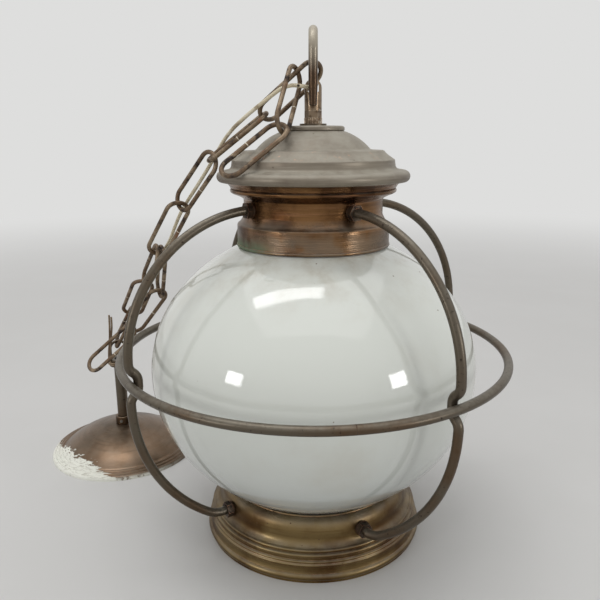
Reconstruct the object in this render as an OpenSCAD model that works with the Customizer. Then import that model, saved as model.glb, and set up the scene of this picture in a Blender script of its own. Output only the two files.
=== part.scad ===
// Caged globe pendant light, standing on its base ring, with its hook, chain, cable
// and ceiling rose. Millimetres, +Z up, -Y to the front. The origin is the centre of
// the base ring's foot. The chain starts at the hook and the rose stands where it ends.

/* [Globe] */
// Widest diameter of the opal glass globe
globe_d = 250; // [230:1:270]
// Height of the globe's lower half, if it closed to a point
globe_lower_h = 110; // [104:1:120]
// Height of the globe's upper half, if it closed to a point
globe_upper_h = 105; // [98:1:115]
// Thickness of the glass
glass_t = 3; // [2:0.1:4]
// Outer diameter of the globe's lower collar
globe_foot_d = 120; // [112:1:124]
// Height of the globe's lower collar
globe_foot_h = 13.5; // [11:0.5:20]
// Outer diameter of the globe's upper collar
globe_neck_d = 92; // [80:1:94]

/* [Base ring] */
// How far the upright wall that takes the rods stands outside the globe's lower collar
base_wall_out = 16; // [14:0.1:18]
// How far the foot bead stands outside the upright wall
base_foot_out = 11.2; // [9:0.1:16]
// Height of the rods' holes above the table
base_hole_z = 33; // [31:0.5:34]
// Height of the rolled rim
base_rim_z = 43.5; // [42:0.5:46]
// Height of the shelf that carries the globe
shelf_z = 25.5; // [24:0.5:27]
// How far the shelf reaches inside the globe's lower collar
shelf_lap = 4; // [3.5:0.5:12]
// Thickness of the spun sheet metal
sheet_t = 1.2; // [0.9:0.1:1.5]
// Thickness of the felt rings at the globe's ends
felt_t = 1.5; // [1:0.1:2.5]

/* [Neck] */
// Radius of the neck's waist, where the rods enter
neck_r = 51.5; // [50:0.1:54]
// Radius to the middle of the bead at the neck's lower lip
lip_r = 56.6; // [56:0.1:60]
// Height of the neck from the middle of the lip to the cap
neck_h = 48.6; // [48:0.1:54]
// Height of the rods' holes above the middle of the lip
neck_hole_dz = 27.1; // [26:0.1:28]
// Radius of the flange that carries the cap
neck_top_r = 70.4; // [69.6:0.1:70.6]

/* [Cap] */
// How far the cap's brim stands outside the neck's flange
cap_brim_out = 0.3; // [0.3:0.1:4]
// Height of the cap above its rim
cap_h = 32.6; // [31:0.1:36]
// How far the flat shelf round the dome lies inside the neck's flange
cap_shelf_in = 19.1; // [17:0.1:21]
// Radius of the disc on top of the cap
plate_r = 22.8; // [18:0.1:26]
// Thickness of the disc
plate_t = 3.5; // [2:0.1:5]

/* [Loop and hook] */
// Diameter of the hollow nipple
nipple_d = 8; // [7:0.1:9]
// Diameter of the nipple's bore
nipple_bore_d = 4.6; // [4:0.1:5]
// Radius of the washer on the disc
washer_r = 9.75; // [8:0.05:12]
// Thickness of the washer on the disc
washer_t = 1.6; // [1:0.1:3]
// Radius of the knurled check ring
check_r = 6.5; // [6:0.1:8]
// Height of the knurled check ring
check_h = 4; // [3:0.1:6]
// Corner radius of the hexagon nut
nut_r = 6.2; // [5.8:0.1:8]
// Height of the hexagon nut
nut_h = 4.8; // [3:0.1:6]
// Radius of the loop's body
yoke_r = 6.2; // [6:0.1:8]
// Height of the loop's body below its window
yoke_body_h = 11; // [9:0.1:14]
// Width of the loop's window
yoke_window_w = 8; // [7.4:0.1:8.6]
// Height of the loop's window
yoke_window_h = 7; // [6:0.1:9]
// Thickness of the bar over the window
yoke_bar_t = 3.5; // [2.5:0.1:5]
// Diameter of the hook's rod
hook_d = 6.5; // [5.5:0.1:7]
// Diameter of the hook's tip
hook_tip_d = 5.3; // [4.5:0.1:5.5]
// Radius of the hook's bow, to the middle of the rod
hook_bow_r = 14; // [13:0.1:15]
// Length of the hook's straight front leg
hook_leg = 37; // [30:0.5:40]
// Angle that the bow goes on past its rearmost point
hook_turn = 75; // [72:0.5:77]
// Diameter of the hook's stem in the bar
stem_pin_d = 4.8; // [4:0.1:5.2]
// Clearance between the stem and its bore, on the radius
pin_gap = 0.08; // [0.02:0.01:0.1]

/* [Cage] */
// Diameter of the cage's rods and ring
cage_d = 6.4; // [5.6:0.1:6.8]
// Radius of the ring, to the middle of its tube
ring_r = 147.1; // [142:0.1:152]
// Height of the ring
ring_z = 149; // [142:0.5:156]
// How far the rods stand out above and below the ring, to their middle
bulge_r = 146.5; // [143:0.1:150]
// Radius of the two bends that take a rod inside the ring
joggle_r = 8; // [6:0.5:10]
// Radius of the bend next to the neck
upper_bend_r = 25; // [15:1:35]
// Radius of the bend next to the base
lower_bend_r = 20; // [12:1:30]
// Thickness of the rods' washers
rod_washer_t = 1; // [0.6:0.1:1.4]
// Radius of the rods' washers
rod_washer_r = 5.6; // [5:0.1:6]
// Corner radius of the rods' nuts
rod_nut_r = 6; // [5:0.1:6.4]
// Height of the rods' nuts
rod_nut_h = 4.2; // [3:0.1:5]

/* [Lampholder] */
// Radius of the threaded lamp insert, to the top of its thread
lamp_thread_r = 13.5; // [13.3:0.1:14]
// Radius of the lampholder's body
holder_r = 20; // [19:0.1:22]
// Height of the lampholder's body
holder_h = 32; // [28:1:40]
// Gap between the bridge bar and the lampholder
holder_drop = 10; // [8:0.5:16]

/* [Ceiling rose] */
// Radius of the rose
rose_r = 70.9; // [60:0.1:80]
// Height of the rose
rose_h = 27; // [24:0.5:34]
// Radius of the collar on the rose
rose_collar_r = 7.8; // [7.4:0.1:10]
// Height of the collar on the rose
rose_collar_h = 8; // [6:0.5:12]
// Radius of the stem tube
stem_r = 5.4; // [5:0.1:6]
// Thickness of the stem tube's wall
stem_wall = 1; // [0.8:0.1:1.4]
// Clearance between the rose and the stem tube, on the radius
rose_gap = 0.3; // [0.2:0.05:0.6]

/* [Chain] */
// Inner length of a link
link_in_l = 50.9; // [46:0.1:54]
// Inner width of a link
link_in_w = 14; // [13:0.1:16]
// Diameter of the links' wire
link_d = 3.4; // [2.6:0.1:3.4]
// Play between neighbouring links
link_play = 0.45; // [0.3:0.05:0.8]
// Diameter of the cable
cable_d = 2.8; // [2:0.1:3]

/* [Hidden] */
$fn = 96;
cage_fn = 48;
wire_fn = 32;

// Fits inside one assembly
seat_gap = 0.05;
part_gap = 0.3;
// Pieces of bent rod end just short of their joints, and a ball covers each joint
joint_gap = 0.1;
ball_extra = 0.03;
function ease(r) = joint_gap * 180 / (PI * r);

// Globe and what it stands on
base_wall_r = globe_foot_d / 2 + base_wall_out;
base_r = base_wall_r + base_foot_out;
shelf_open_r = globe_foot_d / 2 - shelf_lap;
globe_r = globe_d / 2;
function rise(h, r) = h * sqrt(1 - pow(r / globe_r, 2));
globe_bottom = shelf_z + felt_t;
globe_cz = globe_bottom + globe_foot_h + rise(globe_lower_h, globe_foot_d / 2);
globe_steps = 56;
// Blown glass is one piece: three nodes that meet keep its hollow open to collision
globe_low_z = globe_cz - 40;
globe_high_z = globe_cz + 40;

// Neck, set so that its lip just clears the globe's shoulder
lip_bead = 1.5;
shoulder_slope = globe_upper_h / globe_r * lip_r / sqrt(pow(globe_r, 2) - pow(lip_r, 2));
lip_z = globe_cz + rise(globe_upper_h, lip_r)
    + (lip_bead + part_gap) * sqrt(1 + pow(shoulder_slope, 2));
ledge_z = lip_z + 11.6;
ledge_t = 1.2;
globe_top = ledge_z - felt_t;
neck_top = lip_z + neck_h;
neck_hole_z = lip_z + neck_hole_dz;
neck_cut_z = neck_top - 15.6;
bar_ledge_top = neck_top - 9.1;
bar_ledge_t = 1.4;

// Bridge bar and nipple
bar_t = 3;
bar_w = 14;
bar_top = bar_ledge_top - bar_ledge_t;
bar_bottom = bar_top - bar_t;
bar_half = neck_r - 0.5;
bar_washer_t = 1.6;
bar_nut_h = 4.4;
nipple_r = nipple_d / 2;

// Stack on the cap
cap_r = neck_top_r + cap_brim_out;
cap_shelf_r = neck_top_r - cap_shelf_in;
cap_top = neck_top + cap_h;
plate_top = cap_top + plate_t;
washer_top = plate_top + washer_t;
check_top = washer_top + check_h;
nut_top = check_top + nut_h;
window_z = nut_top + yoke_body_h;
window_top = window_z + yoke_window_h;
yoke_top = window_top + yoke_bar_t;
nipple_top = nut_top + 5;

// Hook: a bow, and a small bend back to the stem over the loop
hook_r = hook_d / 2;
hook_bend_r = hook_bow_r * cos(hook_turn) / (1 - cos(hook_turn));
hook_foot_z = yoke_top + part_gap;
hook_z = hook_foot_z + (hook_bow_r + hook_bend_r) * sin(hook_turn);
rivet_r = 3.4;
rivet_h = 1.4;

// Lampholder
holder_top = bar_bottom - holder_drop;
holder_cap_h = 20;
body_top = holder_top - 16;
body_bottom = body_top - holder_h;
core_floor_t = 5;
core_top = body_top - 4;
insert_bottom = body_bottom + 1.5;
insert_t = 0.6;
core_r = holder_r - 1.9;

// Cage
cage_r = cage_d / 2;
rod_in_r = ring_r - cage_d - seat_gap;
joggle_a = acos(1 - (bulge_r - rod_in_r) / (2 * joggle_r));
bulge_dz = 2 * joggle_r * sin(joggle_a) + 2;
neck_stub = 0.8;
base_stub = 2.8;
neck_kink_r = neck_r + rod_washer_t + rod_nut_h + neck_stub;
base_kink_r = base_wall_r + rod_washer_t + rod_nut_h + base_stub;
neck_inner_r = neck_r - sheet_t;
base_inner_r = base_wall_r - sheet_t;
rod_end = 6.5;
nut_skew = 0.4;
// Each rod: compass angle from the front at the neck, the ring and the base
RODS = [[31.5, 37.5, 28], [-57, -57, -55.5], [123, 123, 123], [213, 213, 213]];

// Chain: heading, slope and turn of each link, and the slack before it
CHAIN = [
    [177, -40.5, -45.5, 0], [-176.5, -37.75, 8.3, 0.55], [148, -46.8, 79.7, 2.25],
    [145.2, -52.2, -26.9, 0.45], [124, -41.5, 77.2, 0.75], [127, -44.5, -21.5, 0.45],
    [135, -47.5, 61, 0.45]
];
HOOK_END = [[-107.5, -50, -99.5, 0], [-152, -35.5, -155, 1.25]];
LOOSE_END = [[113, -55, 95, 0], [160, -50, -31.5, 0.8], [-165.5, -40, 32.5, 0.8]];
function heading(a) = [cos(a[1]) * cos(a[0]), cos(a[1]) * sin(a[0]), sin(a[1])];
function unit(v) = v / norm(v);
function slack(a) = a[3] * link_play / 0.45;
function link_start(list, first, i) = i == 0 ? first
    : link_start(list, first, i - 1) + link_in_l * heading(list[i - 1])
        - slack(list[i]) * unit(heading(list[i - 1]) + heading(list[i]));
hook_low = [0, hook_bow_r * cos(hook_turn), hook_z - hook_bow_r * sin(hook_turn)];
chain_from = hook_low + [2.9, -1.5, 3.9];
chain_end = link_start(CHAIN, chain_from, 6) + link_in_l * heading(CHAIN[6]);
hook_end_from = chain_from + [-14.8, -1.7, -3.7];
loose_from = link_start(CHAIN, chain_from, 3) + link_in_l * heading(CHAIN[3])
    + [4.7, 1.3, 0.5];

// Stem and rose, which stand where the chain ends
loop_wire_r = 1.3;
loop_r = 7.5;
loop_h = 18;
loop_top = chain_end - (loop_wire_r + 0.6) * heading(CHAIN[6]);
rose_x = loop_top[0];
rose_y = loop_top[1];
loop_az = 23;
stem_top = loop_top[2] - loop_h;
loop_collar_h = 7;
loop_collar_r = loop_r + loop_wire_r + 0.4;
strap_t = 3;
strap_l = 80;
strap_w = 20;
strap_hole_r = 2.5;
strap_pitch = 60;
stem_nut_h = 5;
stem_nut_r = 9;

// Cable: its route from the nipple to the stem, in round numbers
CABLE_ROUTE = [
    [0, 0, 333], [0, 0, 335.5], [0, -0.9, 338.8], [0, -3.6, 341], [-0.9, -7.3, 342.4],
    [-3.5, -10, 343.2], [-8.6, -11.8, 343.9], [-15, -10.4, 344.4], [-22, -9.4, 342.5],
    [-29, -8.6, 338], [-36, -7, 333], [-44, -3, 327.5], [-52, 2, 321.5],
    [-59.5, 8.5, 315.5], [-66.5, 14, 308], [-73, 17, 298.5], [-79, 18, 289],
    [-85, 18.5, 280], [-91.5, 21, 271], [-98.5, 26, 262], [-106.5, 33.5, 251],
    [-113.5, 42, 239], [-120, 50, 227], [-128, 58, 216], [-136.5, 66, 205],
    [-145, 76, 192], [-154, 87, 176.5], [-163, 97, 161], [-171.6, 106, 146.5],
    [-179.9, 113.9, 132.4], [-185.1, 117.6, 119.6], [-187.8, 119.7, 112],
    [-189.6, 120.2, 106.5], [-191.4, 120.4, 101], [-192.3, 120.7, 95.4],
    [-192.4, 120.8, 88]
];
cable_sides = 8;

// Colours
brass = [0.42, 0.34, 0.20];
copper = [0.46, 0.38, 0.31];
bronze = [0.30, 0.27, 0.24];
rust = [0.33, 0.22, 0.13];
steel = [0.55, 0.54, 0.50];
opal = [0.86, 0.87, 0.84];
cream = [0.86, 0.80, 0.66];
felt = [0.45, 0.42, 0.36];
porcelain = [0.90, 0.88, 0.82];

// Outline helpers
function arc(cx, cy, r, a0, a1, n) =
    [for (i = [0:n]) let (a = a0 + (a1 - a0) * i / n) [cx + r * cos(a), cy + r * sin(a)]];
function bend(p, q, s, n) =
    [for (i = [0:n]) let (t = i / n) (1 - t) * (1 - t) * p + 2 * t * (1 - t) * q + t * t * s];
function tidy(p) = [for (i = [0:len(p) - 1]) if (i == 0 || norm(p[i] - p[i - 1]) > 0.02) p[i]];
function left_of(a, b) = [a[1] - b[1], b[0] - a[0]] / norm(b - a);
function shifted(p, i, t) = let (
    n1 = i > 0 ? left_of(p[i - 1], p[i]) : left_of(p[0], p[1]),
    n2 = i < len(p) - 1 ? left_of(p[i], p[i + 1]) : n1,
    m = n1 + n2) p[i] + 2 * t * m / (m * m);
module spun(p, t) {
    rotate_extrude()
        polygon(concat(p, [for (i = [len(p) - 1:-1:0]) shifted(p, i, t)]));
}
module disc(r, r_in, z, h) {
    translate([0, 0, z]) difference() {
        cylinder(r = r, h = h);
        translate([0, 0, -1]) cylinder(r = r_in, h = h + 2);
    }
}
module bead(r, z, b) {
    rotate_extrude() translate([r, z]) circle(b, $fn = 24);
}
// Turns to a compass angle: its +X then points away from the axis
module towards(az) {
    rotate([0, 0, az - 90]) children();
}
function at_az(az, r) = [r * sin(az), -r * cos(az)];
module radial(az, r, z) {
    towards(az) translate([r, 0, z]) rotate([0, 90, 0]) children();
}

// Base ring
function base_path() = tidy(concat(
    [[base_r - 1.4, 0]],
    arc(base_r - 2.8, 4.5, 2.8, -60, 60, 6),
    bend([base_r - 2.6, 8], [base_r - 3.6, 12], [base_r - 3, 15.6], 5),
    arc(base_r - 4.8, 18.8, 2.1, -50, 75, 6),
    arc(base_r - 7.5, 23, sheet_t + 0.5, -40, 80, 4),
    bend([base_r - 8, 25], [base_wall_r, 26], [base_wall_r, 28], 5),
    bend([base_wall_r, base_rim_z - 5.5], [base_wall_r, base_rim_z - 3],
        [base_wall_r - 3.4, base_rim_z - 0.7], 6)
));
module base_ring() {
    color(brass) difference() {
        union() {
            spun(base_path(), sheet_t);
            bead(base_wall_r - 3.9, base_rim_z, 1);
        }
        for (k = RODS) radial(k[2], base_wall_r - 4, base_hole_z)
            cylinder(r = cage_r + part_gap, h = 8);
    }
}
// Shelf soldered inside the base ring, under the slope below its upright wall
module base_shelf() {
    color(brass) difference() {
        disc(base_wall_r - 0.25, shelf_open_r, shelf_z - 1.5, 1.5);
        spun(base_path(), sheet_t + seat_gap);
    }
}

// Globe
function globe_path() = let (
    t0 = -acos(globe_foot_d / globe_d),
    t1 = acos(globe_neck_d / globe_d))
    tidy(concat([[globe_foot_d / 2, globe_bottom]],
    [for (i = [0:globe_steps]) let (t = t0 + (t1 - t0) * i / globe_steps)
        [globe_r * cos(t), globe_cz + (t < 0 ? globe_lower_h : globe_upper_h) * sin(t)]],
    [[globe_neck_d / 2, globe_top]]));
module globe_part(from, to) {
    color(opal) intersection() {
        spun(globe_path(), glass_t);
        translate([0, 0, from]) cylinder(r = globe_r + 2, h = to - from);
    }
}
module globe_lower() globe_part(globe_bottom - 1, globe_low_z);
module globe_middle() globe_part(globe_low_z, globe_high_z);
module globe_upper() globe_part(globe_high_z, globe_top + 1);
module lower_felt() {
    color(felt) disc(globe_foot_d / 2 + 1, globe_foot_d / 2 - glass_t - 0.5, shelf_z, felt_t);
}
module upper_felt() {
    color(felt) disc(globe_neck_d / 2 + 0.6, globe_neck_d / 2 - glass_t, globe_top, felt_t);
}

// Neck
function neck_path() = let (z = lip_z, t = neck_top) tidy(concat(
    bend([lip_r + 0.4, z + 1.2], [neck_r + 3.2, z + 5], [neck_r + 2.1, z + 14.5], 6),
    arc(neck_r + 0.9, z + 16.4, sheet_t + 0.4, -50, 60, 4),
    [[neck_r + 0.8, z + 18.6], [neck_r, z + 21]],
    bend([neck_r, t - 15.4], [neck_r + 0.4, t - 13.7], [neck_r + 8, t - 11], 5),
    arc(neck_r + 8.2, t - 9, sheet_t + 0.4, -60, 80, 5),
    bend([neck_r + 9.4, t - 7], [neck_r + 11.4, t - 3.6], [neck_top_r - 0.8, t - 1.3], 6)
));
module neck_shell() {
    difference() {
        union() {
            spun(neck_path(), sheet_t);
            bead(lip_r, lip_z, lip_bead);
            disc(neck_r + 1.6, globe_neck_d / 2 - glass_t - 1, ledge_z, ledge_t);
            disc(neck_r + 8, 46, bar_ledge_top - bar_ledge_t, bar_ledge_t);
            disc(neck_top_r, neck_top_r - 6, neck_top - 1.4, 1.4);
        }
        for (k = RODS) radial(k[0], neck_r - 4, neck_hole_z)
            cylinder(r = cage_r + part_gap, h = 8);
    }
}
// The collar up to its waist, and the flange above it that carries the bar and the cap
module neck_collar() {
    color(brass) intersection() {
        neck_shell();
        translate([0, 0, lip_z - 5]) cylinder(r = neck_top_r + 5, h = neck_cut_z - lip_z + 5);
    }
}
module neck_flange() {
    color(brass) intersection() {
        neck_shell();
        translate([0, 0, neck_cut_z]) cylinder(r = neck_top_r + 5, h = neck_top - neck_cut_z + 1);
    }
}

// Cap
function cap_path() = let (t = neck_top, c = cap_shelf_r) tidy(concat(
    [[cap_r, t], [cap_r, t + 3.1]],
    arc(cap_r - sheet_t - 0.4, t + 3.1, sheet_t + 0.4, 5, 80, 4),
    bend([cap_r - 2.2, t + 4.9], [c + 12, t + 5.6], [c + 9.4, t + 6.8], 4),
    [[c + 8.7, t + 8], [c + 8.2, t + 11.4]],
    arc(c + 6.6, t + 11.6, sheet_t + 0.4, 5, 70, 4),
    bend([c + 6, t + 13.9], [c + 2, t + 16.4], [c + 0.4, t + 18.6], 4),
    [[c - 0.6, t + 19.1], [c - 8.6, t + 19.5]],
    bend([c - 9.8, t + 20], [c - 17, t + cap_h - 4.4], [plate_r + 1, t + cap_h - 0.5], 12),
    [[plate_r - 1, t + cap_h], [nipple_r + 0.2, t + cap_h]]
));
module cap() {
    color(copper) spun(cap_path(), sheet_t);
}
module cap_disc() {
    color(copper) difference() {
        rotate_extrude() polygon(concat(
            [[0, cap_top], [plate_r - 0.6, cap_top], [plate_r, cap_top + 0.6]],
            arc(plate_r - 1, plate_top - 1, 1, 0, 90, 4),
            [[0, plate_top]]));
        translate([0, 0, cap_top - 1]) cylinder(r = nipple_r + 0.2, h = plate_t + 2);
    }
}
module disc_washer() {
    color(bronze) disc(washer_r, nipple_r + 0.15, plate_top, washer_t);
}
module check_ring() {
    flutes = 28;
    color(bronze) difference() {
        disc(check_r, nipple_r + 0.15, washer_top, check_h);
        for (i = [0:flutes - 1]) rotate([0, 0, i * 360 / flutes])
            translate([check_r + 0.25, 0, washer_top - 1])
                cylinder(r = 0.5, h = check_h + 2, $fn = 16);
    }
}
module hex_nut() {
    color(brass) translate([0, 0, check_top]) difference() {
        cylinder(r = nut_r, h = nut_h, $fn = 6);
        translate([0, 0, -1]) cylinder(r = nipple_r + 0.15, h = nut_h + 2);
    }
}

// Loop: a cast holder with a window for the cable and a bar for the hook's stem
module hook_loop() {
    color(bronze) difference() {
        intersection() {
            translate([0, 0, nut_top]) cylinder(r = yoke_r, h = yoke_top - nut_top);
            union() {
                translate([-yoke_r, -yoke_r, nut_top])
                    cube([2 * yoke_r, 2 * yoke_r, yoke_top - yoke_r - nut_top]);
                translate([0, yoke_r, yoke_top - yoke_r]) rotate([90, 0, 0])
                    cylinder(r = yoke_r, h = 2 * yoke_r);
            }
        }
        translate([-yoke_window_w / 2, -yoke_r - 1, window_z + yoke_window_w / 4])
            cube([yoke_window_w, 2 * yoke_r + 2, yoke_window_h - yoke_window_w / 4]);
        translate([0, yoke_r + 1, window_z + yoke_window_w / 2]) rotate([90, 0, 0])
            cylinder(r = yoke_window_w / 2, h = 2 * yoke_r + 2);
        translate([0, 0, nut_top - 1])
            cylinder(r = nipple_r + seat_gap, h = nipple_top - nut_top + 1);
        translate([0, 0, nut_top]) cylinder(r = nipple_bore_d / 2, h = yoke_body_h + 3);
        cylinder(r = stem_pin_d / 2 + pin_gap, h = yoke_top + 10);
    }
}
module hook_arc(r, a0, a1) {
    rotate([0, 0, a0]) rotate_extrude(angle = a1 - a0, $fn = 96)
        translate([r, 0]) circle(hook_r, $fn = 48);
}
module swivel_hook() {
    color(bronze) union() {
        translate([0, 0, hook_foot_z]) rotate([90, 0, 90]) {
            translate([0, hook_z - hook_foot_z])
                hook_arc(hook_bow_r, ease(hook_bow_r) - hook_turn, 180 - ease(hook_bow_r));
            translate([hook_bend_r, 0])
                hook_arc(hook_bend_r, 180 - hook_turn + ease(hook_bend_r), 180);
            translate([hook_bend_r * (1 - cos(hook_turn)), hook_bend_r * sin(hook_turn)])
                rotate([0, 90, 90 - hook_turn]) sphere(hook_r + ball_extra);
        }
        translate([0, -hook_bow_r, hook_z]) sphere(hook_r + ball_extra);
        translate([0, -hook_bow_r, hook_z - hook_leg]) rotate_extrude() polygon([
            [0, 0], [hook_tip_d / 2 - 0.5, 0], [hook_tip_d / 2, 0.5],
            [hook_r, hook_leg * 0.4], [hook_r, hook_leg - joint_gap],
            [0, hook_leg - joint_gap]]);
        translate([0, 0, window_top - part_gap - 0.2])
            cylinder(r = stem_pin_d / 2, h = hook_foot_z - window_top + part_gap + 1.2);
        translate([0, 0, window_top - part_gap - rivet_h]) rotate_extrude() polygon([
            [0, 0], [rivet_r - 1, 0], [rivet_r, 0.8], [rivet_r, rivet_h], [0, rivet_h]]);
    }
}

// Nipple and bridge
module nipple() {
    color(steel) disc(nipple_r, nipple_bore_d / 2, holder_top - 8, nipple_top - holder_top + 8);
}
module bridge_bar() {
    color(steel) difference() {
        intersection() {
            translate([-bar_half, -bar_w / 2, bar_bottom]) cube([2 * bar_half, bar_w, bar_t]);
            translate([0, 0, bar_bottom]) cylinder(r = bar_half, h = bar_t);
        }
        translate([0, 0, bar_bottom - 1]) cylinder(r = nipple_r + 0.15, h = bar_t + 2);
    }
}
module bridge_washer() {
    color(steel) disc(8, nipple_r + 0.15, bar_bottom - bar_washer_t, bar_washer_t);
}
module bridge_nut() {
    color(steel) translate([0, 0, bar_bottom - bar_washer_t - bar_nut_h]) difference() {
        cylinder(r = 7.2, h = bar_nut_h, $fn = 6);
        translate([0, 0, -1]) cylinder(r = nipple_r + 0.15, h = bar_nut_h + 2);
    }
}

// Lampholder
module holder_cap() {
    r = holder_r + 1.4;
    color(brass) difference() {
        spun(tidy(concat(
            [[r, holder_top - holder_cap_h], [r, holder_top - 13]],
            bend([r, holder_top - 12], [r - 0.5, holder_top - 6], [9, holder_top - 5], 8),
            [[7, holder_top - 4.6], [7, holder_top], [nipple_r + 0.15, holder_top]])), 1.2);
    }
}
module holder_body() {
    color(brass) difference() {
        translate([0, 0, body_bottom]) cylinder(r = holder_r, h = holder_h);
        translate([0, 0, body_bottom - 1]) cylinder(r = holder_r - 1.6, h = holder_h + 2);
    }
}
module holder_core() {
    color(porcelain) difference() {
        translate([0, 0, insert_bottom]) cylinder(r = core_r + 0.3, h = core_top - insert_bottom);
        translate([0, 0, insert_bottom - 1])
            cylinder(r = lamp_thread_r + insert_t + seat_gap,
                h = core_top - core_floor_t - insert_bottom + 1);
    }
}
module lamp_insert() {
    color(brass) disc(lamp_thread_r + insert_t, lamp_thread_r, insert_bottom,
        core_top - core_floor_t - insert_bottom - 3.5);
}
module centre_contact() {
    color(brass) {
        translate([0, 0, core_top - core_floor_t - 2]) cylinder(r = 3, h = 2);
    }
}
module shade_ring() {
    color(brass) disc(holder_r + 4, holder_r + seat_gap, body_bottom + 4, 6);
}
module terminal_screws() {
    color(brass) for (s = [-1, 1]) translate([s * 9, 0, core_top]) cylinder(r = 2, h = 3);
}
module inner_lead() {
    color(cream) translate([0, 0, core_top])
        cylinder(r = cable_d / 2, h = nipple_top - core_top - 0.1);
}

// Cage
module cage_arc(r, a0, a1) {
    rotate([0, 0, a0]) rotate_extrude(angle = a1 - a0, $fn = 96)
        translate([r, 0]) circle(cage_r, $fn = cage_fn);
}
module cage_ring() {
    color(bronze) translate([0, 0, ring_z]) rotate_extrude($fn = 180)
        translate([ring_r, 0]) circle(cage_r, $fn = cage_fn);
}
// Ball over a joint, its poles along the rod, which runs at angle a there
module cage_ball(p, a) {
    translate(p) rotate([0, 90, a]) sphere(cage_r + ball_extra, $fn = cage_fn);
}
// Bow from a level start at p to an upright end over s, dz lower
module bow(p, s, dz, small) {
    a = norm(s - p);
    b = dz - small;
    big = (a * a + b * b - small * small) / (2 * (a - small));
    phi = atan2(b, big - a);
    translate([p[0], p[1], 0]) rotate([0, 0, atan2(s[1] - p[1], s[0] - p[0])])
        rotate([90, 0, 0]) {
            cage_ball([0, 0, 0], 0);
            translate([0, -small]) cage_arc(small, phi + ease(small), 90 - ease(small));
            cage_ball([small * cos(phi), small * (sin(phi) - 1), 0], phi - 90);
            translate([a - big, -dz]) cage_arc(big, ease(big), phi - ease(big));
            cage_ball([a, -dz, 0], -90);
        }
}
// Half of the bend that takes a rod inside the ring, from above
module joggle() {
    rise = 2 * joggle_r * sin(joggle_a);
    step = bulge_r - rod_in_r;
    e = ease(joggle_r);
    rotate([90, 0, 0]) {
        translate([-joggle_r, rise + 2]) cage_arc(joggle_r, e - joggle_a, -e);
        cage_ball([-step / 2, rise / 2 + 2, 0], 90 - joggle_a);
        translate([joggle_r - step, 2]) cage_arc(joggle_r, 180 - joggle_a + e, 180 - e);
        cage_ball([-step, 2, 0], 90);
    }
}
module cage_rod(k) {
    n = at_az(k[0], neck_kink_r);
    s = at_az(k[1], bulge_r);
    b = at_az(k[2], base_kink_r);
    color(bronze) union() {
        radial(k[0], neck_inner_r - rod_end, neck_hole_z)
            cylinder(r = cage_r, h = neck_kink_r - neck_inner_r + rod_end - joint_gap,
                $fn = cage_fn);
        translate([0, 0, neck_hole_z])
            bow(n, s, neck_hole_z - ring_z - bulge_dz, upper_bend_r);
        translate([0, 0, ring_z]) towards(k[1]) {
            for (m = [0, 1]) mirror([0, 0, m]) translate([bulge_r, 0, 0]) joggle();
            translate([rod_in_r, 0, joint_gap - 2])
                cylinder(r = cage_r, h = 4 - 2 * joint_gap, $fn = cage_fn);
        }
        translate([0, 0, base_hole_z]) mirror([0, 0, 1])
            bow(b, s, ring_z - bulge_dz - base_hole_z, lower_bend_r);
        radial(k[2], base_inner_r - rod_end, base_hole_z)
            cylinder(r = cage_r, h = base_kink_r - base_inner_r + rod_end - joint_gap,
                $fn = cage_fn);
    }
}
module right_front_rod() cage_rod(RODS[0]);
module left_front_rod() cage_rod(RODS[1]);
module right_back_rod() cage_rod(RODS[2]);
module left_back_rod() cage_rod(RODS[3]);
module rod_washers(end, r, z) {
    color(bronze) for (k = RODS) radial(k[end], r + seat_gap, z) difference() {
        cylinder(r = rod_washer_r, h = rod_washer_t);
        translate([0, 0, -1]) cylinder(r = cage_r + seat_gap, h = rod_washer_t + 2);
    }
}
module rod_nuts(end, r, z) {
    color(bronze) for (k = RODS) radial(k[end], r, z) difference() {
        rotate([0, 0, 30]) cylinder(r = rod_nut_r, h = rod_nut_h, $fn = 6);
        translate([0, 0, -1]) cylinder(r = cage_r + seat_gap, h = rod_nut_h + 2);
    }
}
module neck_washers() rod_washers(0, neck_r, neck_hole_z);
module neck_nuts() rod_nuts(0, neck_r + rod_washer_t + seat_gap, neck_hole_z);
module neck_inner_nuts() rod_nuts(0, neck_inner_r - nut_skew - rod_nut_h, neck_hole_z);
module base_washers() rod_washers(2, base_wall_r, base_hole_z);
module base_nuts() rod_nuts(2, base_wall_r + rod_washer_t + seat_gap, base_hole_z);
module base_inner_nuts() rod_nuts(2, base_inner_r - nut_skew - rod_nut_h, base_hole_z);

// Chain
module link() {
    half = (link_in_l - link_in_w) / 2;
    mid = (link_in_w + link_d) / 2;
    for (s = [0, 1]) mirror([s, 0, 0]) translate([half, 0, 0]) rotate([0, 0, -90])
        rotate_extrude(angle = 180, $fn = 64) translate([mid, 0])
            circle(link_d / 2, $fn = wire_fn);
    for (s = [-1, 1]) translate([-half, s * mid, 0]) rotate([0, 90, 0])
        cylinder(r = link_d / 2, h = 2 * half, $fn = wire_fn);
}
module placed_link(list, first, i) {
    a = list[i];
    color(rust) translate(link_start(list, first, i) + link_in_l / 2 * heading(a))
        rotate([0, 0, a[0]]) rotate([0, -a[1], 0]) rotate([-a[2], 0, 0]) link();
}
module chain_link(i) placed_link(CHAIN, chain_from, i - 1);
module hook_end_link(i) placed_link(HOOK_END, hook_end_from, i - 1);
module loose_link(i) placed_link(LOOSE_END, loose_from, i - 1);

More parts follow.
